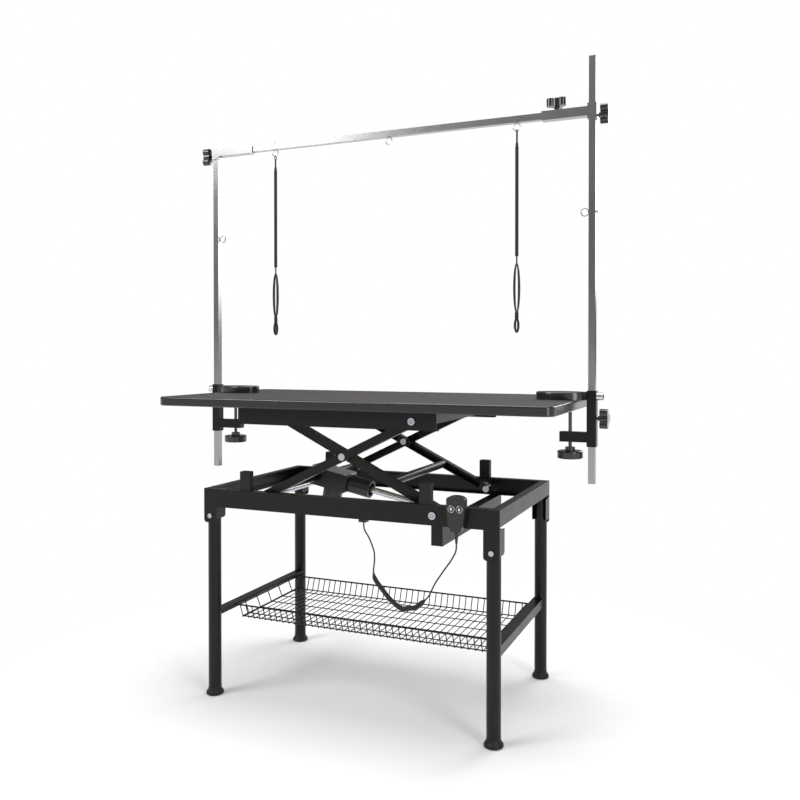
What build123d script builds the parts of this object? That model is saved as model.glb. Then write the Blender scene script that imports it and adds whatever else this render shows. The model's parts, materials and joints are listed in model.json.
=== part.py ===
from build123d import *
import math
import os

# Electric grooming table: a scissor lift on a four-legged frame, with a two-post overhead bar.
# Units are millimetres. The origin is on the floor, under the middle of the whole outline.
# X runs along the table's length, Y from front to back, Z up.

# ---- base frame ----
frame_x = -2.5             # middle of the base frame along X
rail_len = 904.0
frame_depth = 548.0
rail_top = 612.0
rail_h = 53.0
rail_flange = 24.0
rail_t = 3.0
side_rail_h = 44.0
leg_r = 19.0
leg_wall = 2.0
foot_r = 26.0
foot_top_r = 21.5
foot_h = 24.0
foot_sole = 6.0
bracket_w = 44.0
bracket_depth = 45.0
bracket_t = 3.0
bracket_drop_left = 47.0
bracket_drop_right = 78.0
leg_bolt_r = 7.0
leg_bolt_h = 4.0
leg_bolt_up = 20.0         # from the bracket's lower edge
stretcher_flange = 30.0
stretcher_web = 27.0
stretcher_top = 249.0
beam_x = 281.0             # middle of the cross beam, from the frame's middle
beam_w = 32.0
beam_h = 53.0
stop_x = (-312.0, 247.0)
stop_w = 33.0
stop_d = 20.0
stop_top = 668.0

# ---- basket ----
basket_gap = 0.3
basket_y = 180.0
basket_h = 45.0
basket_taper = 15.0
basket_wall = 4.0

# ---- scissor lift ----
base_pivot_x = 270.0       # fixed lower pivot, from the frame's middle
lift_angle = 26.0
lower_half = 311.5
upper_half = 245.4
arm_h = 24.0
arm_w = 24.0
arm_web = 3.0
arm_gap = 2.0
arm_side_gap = 2.0         # between the rail flanges and the outer arms
bolt_r = 6.0
bolt_head_r = 10.0
bolt_head_h = 6.0
centre_head_h = 1.5
nut_h = 8.0
bolt_gap = 0.2
running = 0.05             # radial clearance of a pivot
axle_r = 8.0
roller_w = 16.0
roller_gap = 0.5
tube_r = 12.0

# ---- platform ----
top_rail_h = 48.0
top_rail_flange = 22.0
top_rail_t = 2.5
top_rail_out = 272.0
top_rail_x = (-334.0, 280.0)
cross_w = 30.0
cross_h = 25.0
table_x = -6.0
table_len = 1200.0
table_depth = 600.0
table_t = 26.4
table_corner = 30.0
edge_w = 6.0
mat_t = 3.5
mat_inset = 1.0

# ---- actuator ----
rod_pin_x = 248.0
rod_pin_z = 535.0
tube_on_arm = 215.0        # actuator tube on the outer arm, from the centre pivot
rod_r = 10.0
rod_len = 335.0
rod_eye_r = 13.0
rod_eye_w = 24.0
pin_r = 5.0
housing_w = 70.0
housing_h = 54.0
housing_back = 28.0
housing_len = 100.0
head_len = 72.0
rod_bore_r = 20.0
bore_start = 24.0
motor_r = 30.0
motor_at = 45.0
motor_drop = 115.0

# ---- posts, clamps and overhead bar ----
post_x = (-622.0, 627.0)
post_y = 35.0
post_w = 19.0
post_wall = 1.5
post_len = 1186.0
post_bottom = (632.0, 647.0)
slide_gap = 0.2
sleeve_w = 26.0
sleeve_z = (750.0, 906.0)
clamp_arm_z = (762.0, 790.0)
clamp_arm_tip = (-527.0, 538.0)
screw_x = (-551.0, 566.0)
screw_r = 5.0
knob_r = 36.0
knob_z = (715.0, 737.0)
block_x = (-534.0, 539.0)
block_size = (140.0, 90.0, 22.0)
clamp_bolt_z = 890.0
bar_z = 1681.0
bar_w = 19.0
bar_end_gap = 2.0
bar_left_sleeve = -477.0
bar_right_sleeve = 485.0
collar_h = 44.0
ring_r = 10.5
ring_wire = 1.6
post_ring_z = (1392.0, 1403.0)
bar_ring_x = (-395.0, 9.0, 411.0)
bar_knob_x = 527.0
star_r = 30.0
star_t = 22.0
side_knob_drop = 12.0      # side knobs sit below the bar's middle
stud_r = 4.0
post_knob_z = 829.0

# ---- grooming loops ----
snap_r = 6.0
snap_wire = 1.4
strap_r = 5.0
strap_z = (1290.0, 1604.0)
loop_z = (1125.0, 1270.0)
small_loop_z = (1069.0, 1112.0)
rope_r = 3.0

# ---- handset and its cable ----
handset_x = 341.0
handset_w = 50.0
handset_z = (552.0, 645.0)
handset_front = -298.5
handset_back = -276.0
handset_wall = 2.5
button_r = 7.0
button_dx = 11.0
button_z = 611.0
button_travel = 1.2
relief_r = 5.0
relief_bottom = 522.0
cable_r = 2.25
curly_r = 7.0
cable_right = [
    (341, -288, 522), (341, -288, 502), (325, -283, 475), (303, -277, 446), (276, -271, 408),
    (256, -267, 368), (236, -262, 350)]
cable_curly = [
    (236, -262, 350), (216, -257, 332), (170, -252, 322), (134, -247, 345), (105, -243, 374),
    (86, -241, 394), (84, -240, 408)]
cable_left = [
    (84, -240, 408), (83, -239.5, 415), (87, -239, 440), (86, -239, 468), (72, -242, 504),
    (58, -248, 528), (58, -248, 548)]
socket_size = (22.0, 20.0, 11.0)

# ---- worked out from the values above ----
half_len = rail_len / 2
half_depth = frame_depth / 2
rail_bottom = rail_top - rail_h
pivot_z = rail_top - rail_h / 2
rail_inner = half_depth - rail_flange
outer_arm_y = rail_inner - arm_side_gap
inner_arm_y = outer_arm_y - arm_w - arm_gap
swing = math.radians(lift_angle)
centre_x = base_pivot_x - lower_half * math.cos(swing)
centre_z = pivot_z + lower_half * math.sin(swing)
top_x = centre_x + upper_half * math.cos(swing)
top_z = centre_z + upper_half * math.sin(swing)
low_end_x = centre_x - lower_half * math.cos(swing)
high_end_x = centre_x - upper_half * math.cos(swing)
table_under = top_z + top_rail_h / 2
table_top = table_under + table_t
actuator_x = centre_x - tube_on_arm * math.cos(swing)
actuator_z = centre_z - tube_on_arm * math.sin(swing)
actuator_tilt = math.degrees(math.atan2(actuator_z - rod_pin_z, rod_pin_x - actuator_x))
leg_x = half_len - bracket_t - leg_r
leg_y = half_depth - bracket_t - leg_r

parts = {}


def block(x0, x1, y0, y1, z0, z1):
    """A box from its lowest to its highest corner."""
    middle = Pos((x0 + x1) / 2, (y0 + y1) / 2, (z0 + z1) / 2)
    return middle * Box(abs(x1 - x0), abs(y1 - y0), abs(z1 - z0))


def pin_x(y, z, r, x0, x1):
    return Pos((x0 + x1) / 2, y, z) * Rot(0, 90, 0) * Cylinder(r, abs(x1 - x0))


def pin_y(x, z, r, y0, y1):
    return Pos(x, (y0 + y1) / 2, z) * Rot(90, 0, 0) * Cylinder(r, abs(y1 - y0))


def pin_z(x, y, r, z0, z1):
    return Pos(x, y, (z0 + z1) / 2) * Cylinder(r, abs(z1 - z0))


def square_tube(x, y, z0, z1, outer, inner):
    return block(x - outer / 2, x + outer / 2, y - outer / 2, y + outer / 2, z0, z1) - block(
        x - inner / 2, x + inner / 2, y - inner / 2, y + inner / 2, z0 - 1, z1 + 1)


def rounded_plate(length, depth, radius, z0, z1, x=0.0):
    return Pos(x, 0, z0) * extrude(RectangleRounded(length, depth, radius), z1 - z0)


def channel(x0, x1, side, outer, flange, z0, z1, t):
    """A C-channel along X, its web outside and its flanges inward."""
    web = block(x0, x1, side * (outer - flange), side * outer, z0, z1)
    hollow = block(x0 - 1, x1 + 1, side * (outer - flange - 1), side * (outer - t), z0 + t, z1 - t)
    return web - hollow


def keep(name, *solids):
    """Moves the solids to the part's origin and keeps them as one node."""
    placed = [Pos(frame_x, 0, 0) * solid for solid in solids]
    parts[name] = Compound(children=placed) if len(placed) > 1 else placed[0]


def base_rails():
    for side, name in ((-1, "front"), (1, "rear")):
        rail = channel(-half_len, half_len, side, half_depth, rail_flange, rail_bottom, rail_top, rail_t)
        hole = pin_y(base_pivot_x, pivot_z, bolt_r, side * (half_depth - 5), side * (half_depth + 5))
        keep("base_rail_" + name, rail - hole)
    sides = []
    for side in (-1, 1):
        z0 = rail_top - side_rail_h
        outer = block(side * (half_len - rail_flange), side * half_len, -half_depth + rail_t, half_depth - rail_t,
                      z0, rail_top)
        hollow = block(side * (half_len - rail_flange - 1), side * (half_len - rail_t), -half_depth, half_depth,
                       z0 + rail_t, rail_top - rail_t)
        ends = [block(-half_len - 1, half_len + 1, end * rail_inner, end * half_depth, rail_top - rail_t, rail_top)
                for end in (-1, 1)]
        sides.append(outer - hollow - ends[0] - ends[1])
    keep("base_side_rails", *sides)


def legs():
    tubes = []
    for sy in (-1, 1):
        for sx in (-1, 1):
            tube = pin_z(sx * leg_x, sy * leg_y, leg_r, foot_sole, rail_bottom)
            tubes.append(tube - pin_z(sx * leg_x, sy * leg_y, leg_r - leg_wall, foot_sole - 1, rail_bottom + 1))
    keep("legs", *tubes)


def leg_bracket(sx, sy, drop):
    """A U-shaped bracket under a corner: a face plate, and a cheek on each side of the leg."""
    bottom = rail_bottom - drop
    x_out = sx * half_len
    x_in = sx * (half_len - bracket_w)
    plate = block(x_in, x_out, sy * (half_depth - bracket_t), sy * half_depth, bottom, rail_bottom)
    plate = fillet(plate.edges().filter_by(Axis.Y).group_by(Axis.Z)[0], 9)
    cheek_bottom = bottom + bracket_t * 4
    solid = plate
    for x in (x_out, x_in + sx * bracket_t):
        cheek = block(x - sx * bracket_t, x, sy * (half_depth - bracket_depth), sy * (half_depth - bracket_t),
                      cheek_bottom, rail_bottom)
        corner = cheek.edges().filter_by(Axis.X).group_by(Axis.Z)[0].sort_by(Axis.Y)
        solid += fillet(corner[-1] if sy < 0 else corner[0], 9)
    return solid - pin_z(sx * leg_x, sy * leg_y, leg_r + running, bottom - 1, rail_bottom)


def leg_bolt(sx, sy, drop):
    """The head of a bolt on the bracket's face."""
    return pin_y(sx * leg_x, rail_bottom - drop + leg_bolt_up, leg_bolt_r, sy * half_depth,
                 sy * (half_depth + leg_bolt_h))


def leg_hardware():
    brackets = []
    bolts = []
    for sy in (-1, 1):
        for sx, drop in ((-1, bracket_drop_left), (1, bracket_drop_right)):
            brackets.append(leg_bracket(sx, sy, drop))
            bolts.append(leg_bolt(sx, sy, drop))
    keep("leg_brackets", *brackets)
    keep("leg_bolts", *bolts)
    feet = []
    for sy in (-1, 1):
        for sx in (-1, 1):
            sole = pin_z(sx * leg_x, sy * leg_y, foot_r, 0, foot_h / 2)
            sole = fillet(sole.edges().group_by(Axis.Z)[0], 2)
            shoulder = Pos(sx * leg_x, sy * leg_y, foot_h * 0.75) * Cone(foot_r, foot_top_r, foot_h / 2)
            feet.append(sole + shoulder - pin_z(sx * leg_x, sy * leg_y, leg_r, foot_sole, foot_h + 1))
    keep("feet", *feet)


def stretchers():
    bars = []
    reach = leg_x + 10
    for side in (-1, 1):
        flange = block(side * (reach - stretcher_flange), side * reach, -leg_y, leg_y,
                       stretcher_top - rail_t, stretcher_top)
        web = block(side * (reach - rail_t), side * reach, -leg_y, leg_y,
                    stretcher_top - stretcher_web, stretcher_top)
        bar = flange + web
        for end in (-1, 1):
            bar -= pin_z(side * leg_x, end * leg_y, leg_r, 0, rail_bottom)
        bars.append(bar.solids().sort_by(SortBy.VOLUME)[-1])
    keep("stretchers", *bars)


def basket():
    reach = leg_x + 10 - stretcher_flange - basket_gap
    top = stretcher_top
    bottom = top - basket_h

    def shell(inset, low):
        floor = Pos(0, 0, low) * Rectangle(2 * (reach - basket_taper - inset), 2 * (basket_y - basket_taper - inset))
        rim = Pos(0, 0, top) * Rectangle(2 * (reach - inset), 2 * (basket_y - inset))
        return loft([floor, rim])

    keep("wire_basket", shell(0, bottom) - shell(basket_wall, bottom + basket_wall))


def beam_and_stops():
    beam_end = half_depth - rail_t
    z0 = rail_bottom - beam_h
    outer = block(beam_x - beam_w / 2, beam_x + beam_w / 2, -beam_end, beam_end, z0, rail_bottom)
    inner = block(beam_x - beam_w / 2 + rail_t, beam_x + beam_w / 2 - rail_t, -beam_end - 1, beam_end + 1,
                  z0 + rail_t, rail_bottom - rail_t)
    keep("cross_beam", outer - inner)
    lug_face = beam_x - beam_w / 2
    ears = None
    for side in (-1, 1):
        ear = block(rod_pin_x, lug_face, side * 13, side * 18, rod_pin_z - 12, rod_pin_z + 12)
        ear += pin_y(rod_pin_x, rod_pin_z, 12, side * 13, side * 18)
        ears = ear if ears is None else ears + ear
    ears += pin_y(rod_pin_x, rod_pin_z, pin_r, -22, 22)
    keep("rod_bracket", ears)
    stops = []
    for side in (-1, 1):
        for x in stop_x:
            y_out = half_depth - 3
            post = block(x - stop_w / 2, x + stop_w / 2, side * (y_out - stop_d), side * y_out, rail_top, stop_top)
            stops.append(fillet(post.edges().filter_by(Axis.Y).group_by(Axis.Z)[-1], 3))
    keep("lowering_stops", *stops)


def pivot_bolt(x, z, side, head_y, head_h, spacer_y, arm_face):
    """A bolt with its head outside, a spacer between head and arm, and a nut inside the arm."""
    nut_y = arm_face - nut_h
    bolt = pin_y(x, z, bolt_r, side * nut_y, side * head_y)
    bolt += pin_y(x, z, bolt_head_r, side * head_y, side * (head_y + head_h))
    bolt += pin_y(x, z, bolt_head_r, side * spacer_y[0], side * spacer_y[1])
    return bolt + pin_y(x, z, bolt_head_r, side * nut_y, side * (arm_face - bolt_gap))


def pivot_bolts():
    inner_face = inner_arm_y - arm_w
    outer_face = outer_arm_y - arm_w
    base = []
    top = []
    centre = []
    for side in (-1, 1):
        gap = (inner_arm_y + bolt_gap, half_depth - rail_t)
        base.append(pivot_bolt(base_pivot_x, pivot_z, side, half_depth, bolt_head_h, gap, inner_face))
        gap = (outer_arm_y + bolt_gap, top_rail_out - top_rail_t)
        top.append(pivot_bolt(top_x, top_z, side, top_rail_out, bolt_head_h, gap, outer_face))
        gap = (inner_arm_y + bolt_gap, outer_face)
        centre.append(pivot_bolt(centre_x, centre_z, side, outer_arm_y, centre_head_h, gap, inner_face))
    keep("base_pivot_bolts", *base)
    keep("top_pivot_bolts", *top)
    keep("centre_pivot_bolts", *centre)


def arm(side, y_out, angle, holes):
    """A bar along the lift angle, open on its inner side between its pivots."""
    length = lower_half + upper_half
    middle = (upper_half - lower_half) / 2
    bar = Rot(90, 0, 0) * extrude(SlotCenterToCenter(length, arm_h), arm_w)
    bar = Pos(middle, arm_w / 2, 0) * bar
    for x0, x1 in ((-lower_half + 25, -25), (25, upper_half - 25)):
        bar -= block(x0, x1, side * (-arm_w / 2 - 1), side * (arm_w / 2 - arm_web),
                     -arm_h / 2 + arm_web, arm_h / 2 - arm_web)
    for x, r in holes:
        bar -= pin_y(x, 0, r, -arm_w, arm_w)
    return Pos(centre_x, side * (y_out - arm_w / 2), centre_z) * Rot(0, -angle, 0) * bar


def scissor():
    outer_holes = ((-lower_half, axle_r + running), (0, bolt_r), (upper_half, bolt_r + running))
    for side, name in ((-1, "front"), (1, "rear")):
        keep("outer_arm_" + name, arm(side, outer_arm_y, lift_angle, outer_holes))
        inner = arm(side, inner_arm_y, 180 - lift_angle, ((-lower_half, bolt_r + running), (0, bolt_r + running),
                                                          (upper_half, axle_r + running)))
        keep("inner_arm_" + name, inner)
    reach = outer_arm_y - arm_w
    keep("outer_arm_tube", pin_y(actuator_x, actuator_z, tube_r, -reach, reach))
    along = 150.0
    reach = inner_arm_y - arm_w
    keep("inner_arm_tube", pin_y(centre_x + along * math.cos(swing), centre_z - along * math.sin(swing),
                                 tube_r, -reach, reach))


def roller_set(x, z, r):
    """Two rollers on one axle that reaches into both channels."""
    near = rail_inner + 2
    axle = pin_y(x, z, axle_r, -near - roller_w, near + roller_w)
    for side in (-1, 1):
        axle += pin_y(x, z, r, side * near, side * (near + roller_w))
    return axle


def rollers():
    keep("lower_rollers", roller_set(low_end_x, pivot_z, rail_h / 2 - rail_t - roller_gap))
    keep("upper_rollers", roller_set(high_end_x, top_z, top_rail_h / 2 - top_rail_t - roller_gap))


def platform():
    z0 = top_z - top_rail_h / 2
    for side, name in ((-1, "front"), (1, "rear")):
        rail = channel(top_rail_x[0], top_rail_x[1], side, top_rail_out, top_rail_flange, z0, table_under, top_rail_t)
        hole = pin_y(top_x, top_z, bolt_r, side * (top_rail_out - 5), side * (top_rail_out + 5))
        keep("top_rail_" + name, rail - hole)
    reach = top_rail_out - top_rail_t
    roof = table_under - top_rail_t
    members = []
    for x0 in (top_rail_x[0], top_rail_x[1] - cross_w):
        tube = block(x0, x0 + cross_w, -reach, reach, roof - cross_h, roof)
        tube -= block(x0 + top_rail_t, x0 + cross_w - top_rail_t, -reach - 1, reach + 1,
                      roof - cross_h + top_rail_t, roof - top_rail_t)
        pad = block(x0, x0 + cross_w, -(top_rail_out - top_rail_flange), top_rail_out - top_rail_flange,
                    roof, table_under)
        members.append(tube + pad)
    keep("top_cross_members", *members)
    board_top = table_top - mat_t - 0.4
    corner = table_corner - edge_w
    board = rounded_plate(table_len - 2 * edge_w, table_depth - 2 * edge_w, corner, table_under, board_top, table_x)
    keep("table_board", board)
    band = rounded_plate(table_len, table_depth, table_corner, table_under, table_top, table_x)
    band = fillet(band.edges().group_by(Axis.Z)[-1], 5)
    band = fillet(band.edges().group_by(Axis.Z)[0], 4)
    band -= rounded_plate(table_len - 2 * edge_w, table_depth - 2 * edge_w, corner, table_under - 1, table_top + 1,
                          table_x)
    keep("table_edge", band)
    inset = 2 * (edge_w + mat_inset)
    keep("table_mat", rounded_plate(table_len - inset, table_depth - inset, corner - mat_inset,
                                    board_top, board_top + mat_t, table_x))


def actuator():
    place = Pos(actuator_x, 0, actuator_z) * Rot(0, actuator_tilt, 0)
    half_w = housing_w / 2
    half_h = housing_h / 2
    body = block(-housing_back, housing_len, -half_w, half_w, -half_h, half_h)
    body = fillet(body.edges().filter_by(Axis.Y), 5)
    body += pin_x(0, 0, half_h, housing_len, housing_len + head_len)
    body -= pin_x(0, 0, rod_bore_r, bore_start, housing_len + head_len + 1)
    body -= pin_y(0, 0, tube_r + 0.1, -half_w - 1, half_w + 1)
    keep("actuator_housing", place * body)
    cover = block(-housing_back + 3, housing_len - 2, -half_w + 2, half_w - 2, half_h, half_h + 5)
    for i in range(5):
        y = -24 + i * 12
        cover -= block(-housing_back, housing_len, y - 1.5, y + 1.5, half_h + 3, half_h + 6)
    keep("actuator_cover", place * cover)
    motor = pin_z(motor_at, 0, motor_r, -motor_drop, -half_h)
    motor = fillet(motor.edges().group_by(Axis.Z)[0], 6)
    keep("actuator_motor", place * motor)
    rod = pin_x(0, 0, rod_r, -rod_len, -rod_eye_r + 2)
    rod += pin_y(0, 0, rod_eye_r, -rod_eye_w / 2, rod_eye_w / 2)
    rod -= pin_y(0, 0, pin_r + running, -rod_eye_w, rod_eye_w)
    keep("actuator_rod", Pos(rod_pin_x, 0, rod_pin_z) * Rot(0, actuator_tilt, 0) * rod)


def star_knob():
    """A three-lobed knob on its stud: the stud's end is at the origin and the knob lies along +Z."""
    outline = Circle(star_r * 0.55)
    for i in range(3):
        outline += Rot(0, 0, 90 + 120 * i) * Pos(star_r * 0.62, 0) * Circle(star_r * 0.38)
    head = Pos(0, 0, 10) * extrude(outline, star_t)
    return head + pin_z(0, 0, stud_r * 1.8, 4, 12) + pin_z(0, 0, stud_r, 0.2, 6)


def ring_bolt(reach):
    """An eye bolt: its ring's middle is the origin and its shank runs up +Z through what holds it."""
    ring = Rot(90, 0, 0) * Torus(ring_r, ring_wire)
    return ring + pin_z(0, 0, 2.0, ring_r - 0.5, reach) + pin_z(0, 0, 4.0, reach - 5, reach - 1)


def posts():
    inner = post_w - 2 * post_wall
    for i, name in ((0, "left"), (1, "right")):
        side = -1 if i == 0 else 1
        x = post_x[i]
        z0 = post_bottom[i]
        tube = square_tube(x, post_y, z0, z0 + post_len, post_w, inner)
        tube += block(x - inner / 2, x + inner / 2, post_y - inner / 2, post_y + inner / 2,
                      z0 + post_len - 3, z0 + post_len)
        seat = ring_r + ring_wire
        ring = Pos(x - side * (post_w / 2 + seat), post_y, post_ring_z[i]) * Rot(0, side * 90, 0)
        keep("post_" + name, tube + ring * ring_bolt(seat + post_w + 6.3))


def clamps():
    blocks = []
    bolts = []
    for i, name in ((0, "left"), (1, "right")):
        side = -1 if i == 0 else 1
        x = post_x[i]
        face = x - side * sleeve_w / 2
        sleeve = square_tube(x, post_y, sleeve_z[0], sleeve_z[1], sleeve_w, post_w + 2 * slide_gap)
        foot = block(face, clamp_arm_tip[i], post_y - sleeve_w / 2, post_y + sleeve_w / 2, *clamp_arm_z)
        foot -= pin_z(screw_x[i], post_y, screw_r + 0.1, clamp_arm_z[0] - 1, clamp_arm_z[1] + 1)
        keep("clamp_frame_" + name, sleeve + foot)
        size_x, size_y, size_z = block_size
        pad = extrude(Ellipse(size_x / 2, size_y / 2), size_z)
        pad = Pos(block_x[i], post_y, table_top) * fillet(pad.edges().group_by(Axis.Z)[-1], 4)
        pad += block(block_x[i], face, post_y - 20, post_y + 20, table_top, table_top + size_z)
        blocks.append(pad)
        out = x + side * sleeve_w / 2
        bolts.append(pin_x(post_y, clamp_bolt_z, 11, out, out + side * 18))
        screw = pin_z(screw_x[i], post_y, screw_r, knob_z[1], table_under - 4.2)
        screw += pin_z(screw_x[i], post_y, 14, table_under - 4.2, table_under - 0.2)
        screw += fillet(pin_z(screw_x[i], post_y, knob_r, *knob_z).edges(), 4)
        screw += pin_z(screw_x[i], post_y, 14, knob_z[1] - 1, knob_z[1] + 10)
        keep("clamp_screw_" + name, screw)
    keep("clamp_blocks", *blocks)
    keep("clamp_bolts", *bolts)
    stand = post_x[1] + sleeve_w / 2
    keep("post_knob_right", Pos(stand, post_y, post_knob_z) * Rot(0, 90, 0) * star_knob())


def overhead_bar():
    bore = bar_w + 2 * slide_gap
    half = sleeve_w / 2
    z0 = bar_z - collar_h / 2
    z1 = bar_z + collar_h / 2
    names = ("left", "right")
    sleeve_ends = (bar_left_sleeve, bar_right_sleeve)
    for i in (0, 1):
        side = -1 if i == 0 else 1
        x = post_x[i]
        face = x - side * half
        collar = square_tube(x, post_y, z0, z1, sleeve_w, post_w + 2 * slide_gap + 0.2 * i)
        sleeve = block(face, sleeve_ends[i], post_y - half, post_y + half, bar_z - half, bar_z + half)
        sleeve -= block(face - side * bar_end_gap, sleeve_ends[i] - side, post_y - bore / 2, post_y + bore / 2,
                        bar_z - bore / 2, bar_z + bore / 2)
        keep("bar_collar_" + names[i], collar + sleeve)
    x0 = post_x[0] + half + bar_end_gap
    x1 = post_x[1] - half - bar_end_gap
    tube = block(x0, x1, post_y - bar_w / 2, post_y + bar_w / 2, bar_z - bar_w / 2, bar_z + bar_w / 2)
    tube -= block(x0 - 1, x1 + 1, post_y - bar_w / 2 + post_wall, post_y + bar_w / 2 - post_wall,
                  bar_z - bar_w / 2 + post_wall, bar_z + bar_w / 2 - post_wall)
    rings = []
    seat = ring_r + ring_wire
    ring_z = bar_z - bar_w / 2 - seat
    for x in bar_ring_x:
        tube -= pin_z(x, post_y, 2.1, bar_z - bar_w, bar_z + bar_w)
        rings.append(Pos(x, post_y, ring_z) * ring_bolt(seat + bar_w + 6.3))
    keep("bar_tube", tube)
    keep("bar_rings", *rings)
    knob_z_side = bar_z - side_knob_drop
    keep("bar_knob_left", Pos(post_x[0] - half, post_y, knob_z_side) * Rot(0, -90, 0) * star_knob())
    keep("bar_knob_right", Pos(post_x[1] + half, post_y, knob_z_side) * Rot(0, 90, 0) * star_knob())
    keep("bar_knob_top", Pos(bar_knob_x, post_y, bar_z + half) * star_knob())


def rope_loop(x, z0, z1, half_w):
    """An upright loop of rope, longer than it is wide."""
    long = (z1 - z0) / 2
    ring = Ellipse(half_w, long) - Ellipse(half_w - 2 * rope_r, long - 2 * rope_r)
    return Pos(x, post_y + rope_r, (z0 + z1) / 2) * Rot(90, 0, 0) * extrude(ring, 2 * rope_r)


def grooming_loops():
    ring_bottom = bar_z - bar_w / 2 - ring_wire - 2 * ring_r
    bow_z = ring_bottom + ring_wire + 0.3 + snap_wire - snap_r
    for x, name in ((bar_ring_x[0], "left"), (bar_ring_x[2], "right")):
        bow = Pos(x, post_y, bow_z) * Rot(0, 90, 0) * Torus(snap_r, snap_wire)
        hook = bow + pin_z(x, post_y, 2.6, strap_z[1], bow_z - snap_r + 0.5)
        hook += pin_z(x, post_y, 4.0, strap_z[1], strap_z[1] + 10)
        hook += pin_z(x, post_y, strap_r, *strap_z)
        hook += pin_z(x, post_y, 2.2, loop_z[1] - 3, strap_z[0])
        hook += rope_loop(x, loop_z[0], loop_z[1], 10.0)
        hook += pin_z(x, post_y, 5.5, small_loop_z[1] - 3, loop_z[0] + 3)
        hook += rope_loop(x, small_loop_z[0], small_loop_z[1], 8.0)
        keep("grooming_loop_" + name, hook)


def handset():
    z0, z1 = handset_z
    half = handset_w / 2
    profile = make_face(Polyline((-half + 12, z0), (half - 12, z0), (half - 4, z0 + 22), (half, z0 + 60),
                                 (half, z1 - 10), (-half, z1 - 10), (-half, z0 + 60), (-half + 4, z0 + 22),
                                 close=True))
    cap = Pos(0, z1 - 10) * Ellipse(half, 10)
    outline = profile + cap
    seam = handset_back - 8
    front = Pos(handset_x, seam, 0) * Rot(90, 0, 0) * extrude(outline, seam - handset_front)
    rear = Pos(handset_x, handset_back, 0) * Rot(90, 0, 0) * extrude(outline, handset_back - seam)
    inner = Pos(handset_x, seam, 0) * Rot(90, 0, 0) * extrude(
        Pos(0, (z0 + z1) / 2 + 8) * Rectangle(handset_w - 8, 50), seam - handset_front - handset_wall)
    front = fillet(front.edges().group_by(Axis.Y)[0], 2) - inner
    hook = block(handset_x - 10, handset_x + 10, handset_back, handset_back + 2, rail_top - 15, rail_top + 3)
    hook += block(handset_x - 10, handset_x + 10, handset_back, handset_back + 12, rail_top, rail_top + 3)
    for side, name in ((-1, "up"), (1, "down")):
        x = handset_x + side * button_dx
        front -= pin_y(x, button_z, button_r + 0.3, handset_front - 1, handset_front + handset_wall + 1)
        cap = pin_y(x, button_z, button_r, handset_front - 1.5, handset_front + handset_wall - 0.2)
        flange = pin_y(x, button_z, button_r + 1.5, handset_front + handset_wall + 0.2,
                       handset_front + handset_wall + 1.2)
        stem = pin_y(x, button_z, button_r - 1, handset_front + 1, handset_front + handset_wall + 1)
        keep("button_" + name, cap + stem + flange)
    keep("handset_front", front)
    keep("handset_rear", rear + hook)
    relief = Pos(handset_x, -288, (z0 + relief_bottom) / 2) * Cone(cable_r + 1, relief_r, z0 - relief_bottom)
    keep("handset_relief", relief)


def cable(points, radius):
    """A tube along straight runs joined by tangent arcs as large as the runs allow."""
    knots = [Vector(*p) for p in points]
    radii = []
    for a, b, c in zip(knots, knots[1:], knots[2:]):
        turn = math.radians((b - a).get_angle(c - b))
        run = min((b - a).length, (c - b).length)
        radii.append(0.45 * run / math.tan(turn / 2))
    print("cable radii", [round(r) for r in radii])
    path = FilletPolyline(*knots, radius=radii)
    start = Plane(origin=knots[0], z_dir=knots[1] - knots[0])
    return sweep(start * Circle(radius), path=path)


def handset_cable():
    keep("cable_right", cable(cable_right, cable_r))
    keep("cable_curly", cable(cable_curly, curly_r))
    keep("cable_left", cable(cable_left, cable_r))
    sx, sy, sz = socket_size
    x, y, z = cable_left[-1]
    keep("cable_socket", block(x - sx / 2, x + sx / 2, y - sy / 2, y + sy / 2, z, rail_bottom))


base_rails()
legs()
leg_hardware()
stretchers()
basket()
beam_and_stops()
pivot_bolts()
scissor()
rollers()
platform()
actuator()
posts()
clamps()
overhead_bar()
grooming_loops()
handset()
handset_cable()

os.makedirs("parts", exist_ok=True)
for node, shape in parts.items():
    export_step(shape, "parts/" + node + ".step")

boxes = [shape.bounding_box() for shape in parts.values()]
print("nodes", len(parts))
print("X", round(min(b.min.X for b in boxes), 2), round(max(b.max.X for b in boxes), 2))
print("Y", round(min(b.min.Y for b in boxes), 2), round(max(b.max.Y for b in boxes), 2))
print("Z", round(min(b.min.Z for b in boxes), 2), round(max(b.max.Z for b in boxes), 2))
print("pivots", [round(v, 3) for v in (centre_x, centre_z, top_x, top_z, low_end_x, high_end_x,
                                      actuator_x, actuator_z, actuator_tilt)])
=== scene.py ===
# Electric grooming table: the finished model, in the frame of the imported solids. Metres, Z up.
import json
import math

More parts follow.
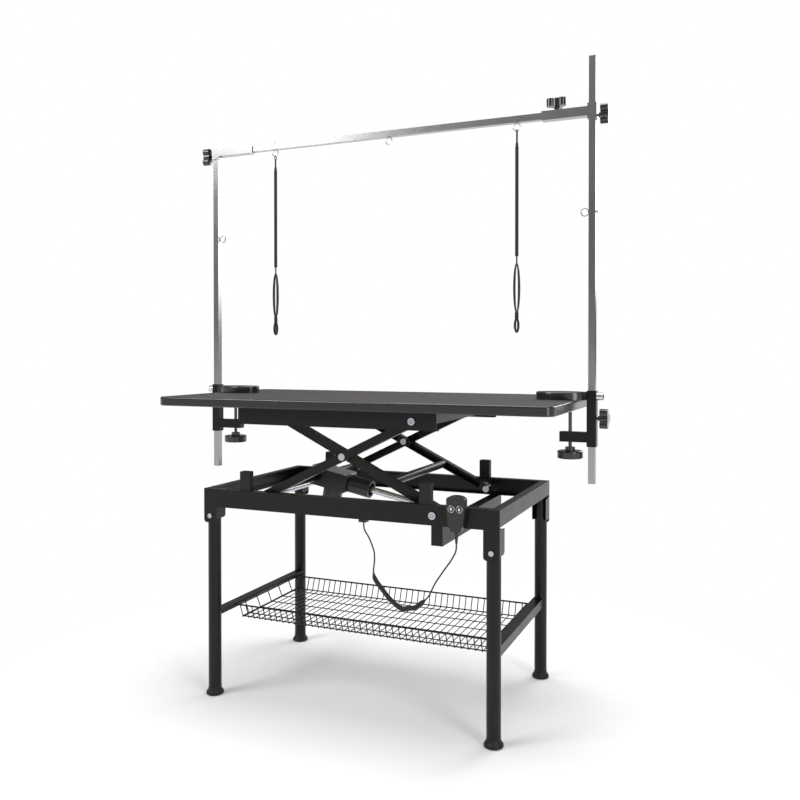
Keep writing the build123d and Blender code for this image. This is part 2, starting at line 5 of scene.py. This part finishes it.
import bpy
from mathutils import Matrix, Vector


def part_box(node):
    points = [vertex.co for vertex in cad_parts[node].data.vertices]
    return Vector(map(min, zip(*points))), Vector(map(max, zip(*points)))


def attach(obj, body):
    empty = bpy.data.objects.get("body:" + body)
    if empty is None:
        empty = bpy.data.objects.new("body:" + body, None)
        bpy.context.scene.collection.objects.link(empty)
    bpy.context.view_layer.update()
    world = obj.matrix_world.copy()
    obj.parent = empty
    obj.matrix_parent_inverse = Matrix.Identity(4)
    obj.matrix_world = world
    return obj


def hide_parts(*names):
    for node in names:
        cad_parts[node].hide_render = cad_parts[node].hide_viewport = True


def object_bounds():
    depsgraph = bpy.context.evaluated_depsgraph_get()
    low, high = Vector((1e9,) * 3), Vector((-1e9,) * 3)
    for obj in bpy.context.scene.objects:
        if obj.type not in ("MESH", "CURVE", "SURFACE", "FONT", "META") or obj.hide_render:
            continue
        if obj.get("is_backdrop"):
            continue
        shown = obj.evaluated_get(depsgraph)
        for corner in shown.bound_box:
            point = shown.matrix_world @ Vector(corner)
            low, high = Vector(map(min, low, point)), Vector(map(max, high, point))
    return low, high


bpy.ops.wm.read_factory_settings(use_empty=True)
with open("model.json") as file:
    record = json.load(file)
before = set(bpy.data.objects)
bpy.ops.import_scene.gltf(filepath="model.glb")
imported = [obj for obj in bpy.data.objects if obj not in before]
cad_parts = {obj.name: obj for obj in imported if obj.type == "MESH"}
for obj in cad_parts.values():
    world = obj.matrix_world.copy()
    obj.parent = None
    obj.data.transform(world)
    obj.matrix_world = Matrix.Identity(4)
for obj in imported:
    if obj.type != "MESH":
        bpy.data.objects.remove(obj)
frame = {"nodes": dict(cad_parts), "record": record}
nodes = frame["nodes"]


def record_size(key, sizes):
    low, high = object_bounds()
    sizes[key] = [list(low), list(high)]


sizes = {}
record_size("loaded", sizes)


# ---- materials ----
def material(name, color, rough, metal=0.0, coat=0.0, grain=0.0, grain_scale=600.0, mottle=0.0, spec=0.5):
    """A plain surface with fine grain as bump and a slight change of roughness across it."""
    m = bpy.data.materials.new(name)
    m.use_nodes = True
    tree = m.node_tree
    shader = tree.nodes["Principled BSDF"]
    shader.inputs["Base Color"].default_value = (*color, 1)
    shader.inputs["Roughness"].default_value = rough
    shader.inputs["Metallic"].default_value = metal
    shader.inputs["Coat Weight"].default_value = coat
    shader.inputs["Coat Roughness"].default_value = 0.15
    shader.inputs["Specular IOR Level"].default_value = spec
    place = tree.nodes.new("ShaderNodeTexCoord")
    if mottle:
        cloud = tree.nodes.new("ShaderNodeTexNoise")
        cloud.inputs["Scale"].default_value = 14
        cloud.inputs["Detail"].default_value = 5
        span = tree.nodes.new("ShaderNodeMapRange")
        span.inputs["To Min"].default_value = rough - mottle
        span.inputs["To Max"].default_value = rough + mottle
        tree.links.new(place.outputs["Object"], cloud.inputs["Vector"])
        tree.links.new(cloud.outputs[0], span.inputs["Value"])
        tree.links.new(span.outputs[0], shader.inputs["Roughness"])
    if grain:
        noise = tree.nodes.new("ShaderNodeTexNoise")
        noise.inputs["Scale"].default_value = grain_scale
        bump = tree.nodes.new("ShaderNodeBump")
        bump.inputs["Strength"].default_value = grain
        bump.inputs["Distance"].default_value = 0.0004
        tree.links.new(place.outputs["Object"], noise.inputs["Vector"])
        tree.links.new(noise.outputs[0], bump.inputs["Height"])
        tree.links.new(bump.outputs[0], shader.inputs["Normal"])
    return m


def ribbed(name, color, spacing, rough):
    """Rubber with fine grooves along X."""
    m = material(name, color, rough, mottle=0.06)
    tree = m.node_tree
    place = next(n for n in tree.nodes if n.bl_idname == "ShaderNodeTexCoord")
    wave = tree.nodes.new("ShaderNodeTexWave")
    wave.bands_direction = "Y"
    wave.inputs["Scale"].default_value = 0.314 / spacing
    bump = tree.nodes.new("ShaderNodeBump")
    bump.inputs["Strength"].default_value = 0.6
    bump.inputs["Distance"].default_value = 0.0012
    tree.links.new(place.outputs["Object"], wave.inputs["Vector"])
    tree.links.new(wave.outputs[1], bump.inputs["Height"])
    tree.links.new(bump.outputs[0], tree.nodes["Principled BSDF"].inputs["Normal"])
    return m


looks = {
    "black_coat": material("black_coat", (0.004, 0.004, 0.0045), 0.3, grain=0.9, grain_scale=420, mottle=0.06,
                           spec=0.3),
    "black_rubber": material("black_rubber", (0.008, 0.008, 0.009), 0.5, grain=0.25, mottle=0.08, spec=0.35),
    "dark_steel": material("dark_steel", (0.5, 0.53, 0.58), 0.26, metal=1.0, mottle=0.06),
    "table_wood": material("table_wood", (0.3, 0.22, 0.14), 0.6, mottle=0.1),
    "edge_band": material("edge_band", (0.007, 0.007, 0.008), 0.22, coat=0.3, mottle=0.05),
    "ribbed_mat": ribbed("ribbed_mat", (0.03, 0.026, 0.024), 0.005, 0.62),
    "motor_plastic": material("motor_plastic", (0.015, 0.015, 0.017), 0.38, grain=0.2, mottle=0.06),
    "silver_cover": material("silver_cover", (0.62, 0.63, 0.65), 0.32, metal=1.0, mottle=0.05),
    "bright_post": material("bright_post", (0.4, 0.4, 0.41), 0.24, metal=1.0, mottle=0.04),
    "chrome_fittings": material("chrome_fittings", (0.66, 0.67, 0.69), 0.14, metal=1.0, mottle=0.03),
    "black_knob": material("black_knob", (0.01, 0.01, 0.011), 0.16, coat=0.5, mottle=0.04),
    "nylon_loop": material("nylon_loop", (0.012, 0.012, 0.014), 0.7, grain=0.8, grain_scale=1500,
                           mottle=0.08),
    "handset_plastic": material("handset_plastic", (0.016, 0.016, 0.018), 0.35, grain=0.3, mottle=0.05),
    "button_plastic": material("button_plastic", (0.05, 0.05, 0.055), 0.35, mottle=0.04),
    "cable_jacket": material("cable_jacket", (0.012, 0.012, 0.013), 0.42, mottle=0.06),
    "arrow_print": material("arrow_print", (0.8, 0.8, 0.8), 0.5, mottle=0.04),
}
for part in frame["record"]["subparts"]:
    node = nodes[part["node"]]
    node.data.materials.clear()
    node.data.materials.append(looks[part["material_slot"]])


# ---- piece builders ----
def finish_piece(piece, slot, body):
    """Gives a piece the look named by its slot, and lets it ride on its body."""
    piece.data.materials.append(looks[slot])
    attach(piece, body)
    return piece


def wire(name, lines, radius, slot, body, smooth=False, closed=False, resolution=4):
    """Round wire along one or more lines of points."""
    curve = bpy.data.curves.new(name, "CURVE")
    curve.dimensions = "3D"
    curve.bevel_depth = radius
    curve.bevel_resolution = resolution
    curve.use_fill_caps = True
    for line in lines:
        spline = curve.splines.new("NURBS" if smooth else "POLY")
        spline.points.add(len(line) - 1)
        for point, place in zip(spline.points, line):
            point.co = (*place, 1)
        if smooth:
            spline.order_u = 3
            spline.use_endpoint_u = True
        spline.use_cyclic_u = closed
    piece = bpy.data.objects.new(name, curve)
    bpy.context.scene.collection.objects.link(piece)
    return finish_piece(piece, slot, body)


def mesh(name, points, faces, slot, body, smooth=False):
    data = bpy.data.meshes.new(name)
    data.from_pydata(points, [], faces)
    data.validate()
    data.update()
    for polygon in data.polygons:
        polygon.use_smooth = smooth
    piece = bpy.data.objects.new(name, data)
    bpy.context.scene.collection.objects.link(piece)
    return finish_piece(piece, slot, body)


def turned(name, centre, axis, profile, slot, body, steps=40):
    """A solid of revolution: profile is (radius, distance along axis) pairs from end to end."""
    turn = Vector((0, 0, 1)).rotation_difference(Vector(axis)).to_matrix()
    points = []
    faces = []
    for radius, along in profile:
        for i in range(steps):
            a = 2 * math.pi * i / steps
            spot = Vector((radius * math.cos(a), radius * math.sin(a), along))
            points.append(Vector(centre) + turn @ spot)
    for ring in range(len(profile) - 1):
        for i in range(steps):
            j = (i + 1) % steps
            low = ring * steps
            faces.append((low + i, low + j, low + steps + j, low + steps + i))
    faces.append(tuple(reversed(range(steps))))
    faces.append(tuple(range((len(profile) - 1) * steps, len(profile) * steps)))
    return mesh(name, points, faces, slot, body, smooth=False)


# ---- the curly cable ----
def resample(points, count):
    """Evenly spaced points along a line of points."""
    lengths = [0.0]
    for a, b in zip(points, points[1:]):
        lengths.append(lengths[-1] + (b - a).length)
    out = []
    leg = 0
    for i in range(count):
        want = lengths[-1] * i / (count - 1)
        while leg < len(points) - 2 and lengths[leg + 1] < want:
            leg += 1
        part = (want - lengths[leg]) / (lengths[leg + 1] - lengths[leg])
        out.append(points[leg].lerp(points[leg + 1], part))
    return out, lengths[-1]


def soften(points, rounds):
    for _ in range(rounds):
        points = [points[0]] + [
            (a + 2 * b + c) / 4 for a, b, c in zip(points, points[1:], points[2:])
        ] + [points[-1]]
    return points


x0 = -0.0025  # middle of the base frame, from the middle of the whole outline
right_run = [(0.341, -0.288, 0.522), (0.341, -0.288, 0.502), (0.325, -0.283, 0.475), (0.303, -0.277, 0.446),
             (0.276, -0.271, 0.408), (0.256, -0.267, 0.368)]
curl_run = [(0.236, -0.262, 0.350), (0.216, -0.257, 0.332), (0.170, -0.252, 0.322), (0.134, -0.247, 0.345),
            (0.105, -0.243, 0.374), (0.086, -0.241, 0.394), (0.084, -0.240, 0.408)]
left_run = [(0.083, -0.2395, 0.415), (0.087, -0.239, 0.440), (0.086, -0.239, 0.468), (0.072, -0.242, 0.504),
            (0.058, -0.248, 0.528), (0.058, -0.248, 0.548)]
spine = [Vector((x + x0, y, z)) for x, y, z in right_run + curl_run + left_run]
spine, spine_length = resample(spine, 400)
spine = soften(spine, 60)
spine, spine_length = resample(spine, 3000)


def nearest(target):
    return min(range(len(spine)), key=lambda i: (spine[i] - Vector(target)).length)


curl_start = nearest((0.248 + x0, -0.2645, 0.360))
curl_end = nearest((0.0845 + x0, -0.240, 0.410))
coil_turns = 52
coil_radius = 0.0047
cable_line = []
side = Vector((0, 1, 0))
for i, spot in enumerate(spine):
    ahead = (spine[min(i + 1, len(spine) - 1)] - spine[max(i - 1, 0)]).normalized()
    side = (side - ahead * side.dot(ahead)).normalized()
    up = ahead.cross(side)
    part = (i - curl_start) / (curl_end - curl_start)
    if 0 < part < 1:
        reach = coil_radius * min(1, part * coil_turns / 4, (1 - part) * coil_turns / 4)
        a = 2 * math.pi * coil_turns * part
        cable_line.append(spot + side * reach * math.cos(a) + up * reach * math.sin(a))
    elif i % 6 == 0 or i == len(spine) - 1:
        cable_line.append(spot)
cable_piece = wire("control_cable", [cable_line], 0.0021, "cable_jacket", "base", smooth=True)
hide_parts("cable_right", "cable_curly", "cable_left")

# ---- wire basket ----
low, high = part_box("wire_basket")
rim_z = high.z - 0.0025
floor_z = low.z + 0.002
taper = 0.015
rim_inset = 0.003
rim_x0 = low.x + rim_inset
rim_x1 = high.x - rim_inset
rim_y0 = low.y + rim_inset
rim_y1 = high.y - rim_inset
rim = [(rim_x0, rim_y0, rim_z), (rim_x1, rim_y0, rim_z), (rim_x1, rim_y1, rim_z), (rim_x0, rim_y1, rim_z)]
basket = wire("basket_rim", [rim], 0.0026, "black_coat", "base", closed=True)
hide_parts("wire_basket")
lower = [(rim_x0 + taper, rim_y0 + taper, floor_z + 0.003), (rim_x1 - taper, rim_y0 + taper, floor_z + 0.003),
         (rim_x1 - taper, rim_y1 - taper, floor_z + 0.003), (rim_x0 + taper, rim_y1 - taper, floor_z + 0.003)]
wire("basket_floor_ring", [lower], 0.002, "black_coat", "base", closed=True)
cross = []
count = 40
for i in range(count):
    x = rim_x0 + taper + (rim_x1 - rim_x0 - 2 * taper) * i / (count - 1)
    cross.append([(x, rim_y0, rim_z), (x, rim_y0 + taper, floor_z), (x, rim_y1 - taper, floor_z),
                  (x, rim_y1, rim_z)])
wire("basket_cross_wires", cross, 0.0016, "black_coat", "base")
along = []
for i in range(5):
    y = rim_y0 + taper + (rim_y1 - rim_y0 - 2 * taper) * (i + 0.5) / 5
    along.append([(rim_x0, y, rim_z), (rim_x0 + taper, y, floor_z + 0.003),
                  (rim_x1 - taper, y, floor_z + 0.003), (rim_x1, y, rim_z)])
wire("basket_long_wires", along, 0.0018, "black_coat", "base")

# ---- handset face: button rings and arrows ----
for name, way in (("button_up", 1), ("button_down", -1)):
    low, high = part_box(name)
    centre = Vector(((low.x + high.x) / 2, low.y, (low.z + high.z) / 2))
    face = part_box("handset_front")[0].y
    ring = [(centre.x + 0.0083 * math.cos(a), face - 0.0002, centre.z + 0.0083 * math.sin(a))
            for a in [2 * math.pi * i / 48 for i in range(48)]]
    wire(name + "_ring", [ring], 0.0008, "chrome_fittings", "base", closed=True)
    tip = 0.0042 * way
    outline = [(0, tip), (-0.0036, tip * 0.1), (-0.0014, tip * 0.1), (-0.0014, -tip * 0.9),
               (0.0014, -tip * 0.9), (0.0014, tip * 0.1), (0.0036, tip * 0.1)]
    points = [(centre.x + x, centre.y - 0.00005, centre.z + z) for x, z in outline]
    points += [(centre.x + x, centre.y + 0.0003, centre.z + z) for x, z in outline]
    n = len(outline)
    faces = [tuple(range(n)), tuple(range(2 * n - 1, n - 1, -1))]
    faces += [(i, (i + 1) % n, (i + 1) % n + n, i + n) for i in range(n)]
    mesh(name + "_arrow", points, faces, "arrow_print", name)

# ---- feet: a flared rubber skirt with flutes under each leg ----
def foot(name, cx, cy, radius, height, flutes=22):
    """A low flared foot: its flutes fade out towards the top."""
    profile = [(0.90, 0.0), (0.985, 0.06), (1.0, 0.2), (0.985, 0.34), (0.93, 0.46), (0.85, 0.56),
               (0.79, 0.68), (0.765, 0.84), (0.75, 1.0)]
    steps = flutes * 6
    points = []
    for width, up in profile:
        depth = 0.04 * max(0.0, 1 - abs(up - 0.3) / 0.3)
        for i in range(steps):
            a = 2 * math.pi * i / steps
            r = radius * (width - depth * (0.5 + 0.5 * math.cos(flutes * a)))
            points.append((cx + r * math.cos(a), cy + r * math.sin(a), up * height))
    faces = []
    for ring in range(len(profile) - 1):
        low = ring * steps
        for i in range(steps):
            j = (i + 1) % steps
            faces.append((low + i, low + j, low + steps + j, low + steps + i))
    faces.append(tuple(reversed(range(steps))))
    faces.append(tuple(range((len(profile) - 1) * steps, len(profile) * steps)))
    piece = mesh(name, points, faces, "black_rubber", "base", smooth=True)
    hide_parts("feet")


foot_low, foot_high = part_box("feet")
foot_radius = 0.026
for sx, x in (("left", foot_low.x + foot_radius), ("right", foot_high.x - foot_radius)):
    for sy, y in (("front", foot_low.y + foot_radius), ("rear", foot_high.y - foot_radius)):
        foot("foot_%s_%s" % (sy, sx), x, y, foot_radius, 0.020)


# ---- end caps of the cross beam ----
def slab(name, low, high, slot, body):
    xs, ys, zs = zip(low, high)
    points = [(x, y, z) for x in xs for y in ys for z in zs]
    faces = [(0, 1, 3, 2), (4, 6, 7, 5), (0, 4, 5, 1), (2, 3, 7, 6), (0, 2, 6, 4), (1, 5, 7, 3)]
    return mesh(name, points, faces, slot, body)


low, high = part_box("cross_beam")
cap_inset = 0.0031
for name, y0, y1 in (("front", low.y + 0.0002, low.y + 0.003), ("rear", high.y - 0.003, high.y - 0.0002)):
    slab("beam_cap_" + name, (low.x + cap_inset, y0, low.z + cap_inset),
         (high.x - cap_inset, y1, high.z - cap_inset), "black_coat", "base")

# ---- screw heads: hex recess rims on the pivot bolts ----
for node in ("base_pivot_bolts", "top_pivot_bolts"):
    body = "base" if node == "base_pivot_bolts" else "platform"
    low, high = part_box(node)
    cx = (low.x + high.x) / 2
    cz = (low.z + high.z) / 2
    for way, y in ((-1, low.y), (1, high.y)):
        ring = [(cx + 0.0048 * math.cos(math.pi * i / 3), y, cz + 0.0048 * math.sin(math.pi * i / 3))
                for i in range(6)]
        wire("%s_socket_%s" % (node, "front" if way < 0 else "rear"), [ring], 0.0006, "black_rubber", body,
             closed=True, resolution=2)

# ---- clamp bolts: hex heads ----
low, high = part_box("clamp_bolts")
for name, x, way in (("left", low.x, -1), ("right", high.x, 1)):
    z = (low.z + high.z) / 2
    y = (low.y + high.y) / 2
    turned("clamp_bolt_cap_" + name, (x, y, z), (-way, 0, 0),
           [(0.0088, 0.0), (0.0106, 0.0012), (0.0112, 0.0022), (0.0112, 0.010)],
           "chrome_fittings", "platform", 6)


# ---- camera, light and floor ----
camera = bpy.data.objects.new("camera", bpy.data.cameras.new("camera"))
bpy.context.scene.collection.objects.link(camera)
bpy.context.scene.camera = camera
azimuth, elevation = math.radians(23.165), math.radians(0.634)
back = Vector((math.sin(azimuth) * math.cos(elevation), -math.cos(azimuth) * math.cos(elevation),
               math.sin(elevation)))
camera.location = (1.05155 + x0, -2.31669, 1.01028)
camera.rotation_mode = "QUATERNION"
camera.rotation_quaternion = (-back).to_track_quat("-Z", "Y")
camera.data.sensor_width = 36
camera.data.lens = 37.68
camera.data.shift_y = -0.0469
camera.data.clip_start = 0.05
camera.data.clip_end = 60

floor = bpy.data.objects.new("floor", bpy.data.meshes.new("floor"))
floor.data.from_pydata([(-30, -30, -0.001), (30, -30, -0.001), (30, 30, -0.001), (-30, 30, -0.001)], [],
                       [(0, 1, 2, 3)])
shadow_reach = 0.55  # the floor shows its shading this near the middle, in metres
white_from = 1.25    # and is plain white from here on
floor_look = material("floor", (0.9, 0.9, 0.9), 0.9, mottle=0.02, spec=0.0)
tree = floor_look.node_tree
place = next(n for n in tree.nodes if n.bl_idname == "ShaderNodeTexCoord")
reach = tree.nodes.new("ShaderNodeVectorMath")
reach.operation = "LENGTH"
fade = tree.nodes.new("ShaderNodeMapRange")
fade.inputs["From Min"].default_value = shadow_reach
fade.inputs["From Max"].default_value = white_from
plain = tree.nodes.new("ShaderNodeEmission")
plain.inputs["Color"].default_value = (1, 1, 1, 1)
plain.inputs["Strength"].default_value = 1.0
blend = tree.nodes.new("ShaderNodeMixShader")
tree.links.new(place.outputs["Object"], reach.inputs[0])
tree.links.new(reach.outputs["Value"], fade.inputs["Value"])
tree.links.new(fade.outputs[0], blend.inputs[0])
tree.links.new(tree.nodes["Principled BSDF"].outputs[0], blend.inputs[1])
tree.links.new(plain.outputs[0], blend.inputs[2])
tree.links.new(blend.outputs[0], tree.nodes["Material Output"].inputs["Surface"])
floor.data.materials.append(floor_look)
bpy.context.scene.collection.objects.link(floor)
floor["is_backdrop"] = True


def lamp(name, place, target, size, power):
    data = bpy.data.lights.new(name, "AREA")
    data.shape = "RECTANGLE"
    data.size, data.size_y = size
    data.energy = power
    light = bpy.data.objects.new(name, data)
    light.location = place
    light.rotation_mode = "QUATERNION"
    light.rotation_quaternion = (Vector(target) - Vector(place)).to_track_quat("-Z", "Y")
    bpy.context.scene.collection.objects.link(light)
    light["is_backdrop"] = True


lamp("key", (-2.6, -3.0, 3.6), (0, 0, 0.9), (1.8, 1.8), 90)
lamp("fill", (3.4, -2.4, 2.0), (0, 0, 0.9), (1.2, 3.0), 60)
lamp("top", (0, 0.4, 4.4), (0, 0, 0.8), (3.0, 2.0), 110)
lamp("rear", (1.6, 3.4, 2.4), (0, 0, 1.0), (2.4, 2.0), 60)

world = bpy.data.worlds.new("studio")
bpy.context.scene.world = world
world.use_nodes = True
tree = world.node_tree
tree.nodes.clear()
output = tree.nodes.new("ShaderNodeOutputWorld")
mix = tree.nodes.new("ShaderNodeMixShader")
rays = tree.nodes.new("ShaderNodeLightPath")
soft = tree.nodes.new("ShaderNodeBackground")
soft.inputs["Strength"].default_value = 0.6
way = tree.nodes.new("ShaderNodeTexCoord")
parts = tree.nodes.new("ShaderNodeSeparateXYZ")
ramp = tree.nodes.new("ShaderNodeValToRGB")
ramp.color_ramp.elements[0].position = 0.0
ramp.color_ramp.elements[0].color = (0.16, 0.16, 0.17, 1)
ramp.color_ramp.elements[1].position = 0.75
ramp.color_ramp.elements[1].color = (1.0, 1.0, 1.0, 1)
tree.links.new(way.outputs["Generated"], parts.inputs[0])
tree.links.new(parts.outputs["Z"], ramp.inputs["Fac"])
tree.links.new(ramp.outputs["Color"], soft.inputs["Color"])
white = tree.nodes.new("ShaderNodeBackground")
white.inputs["Color"].default_value = (1, 1, 1, 1)
white.inputs["Strength"].default_value = 1.0
tree.links.new(rays.outputs["Is Camera Ray"], mix.inputs["Fac"])
tree.links.new(soft.outputs[0], mix.inputs[1])
tree.links.new(white.outputs[0], mix.inputs[2])
tree.links.new(mix.outputs[0], output.inputs["Surface"])
bpy.context.scene.view_settings.view_transform = "Standard"

record_size("finished", sizes)
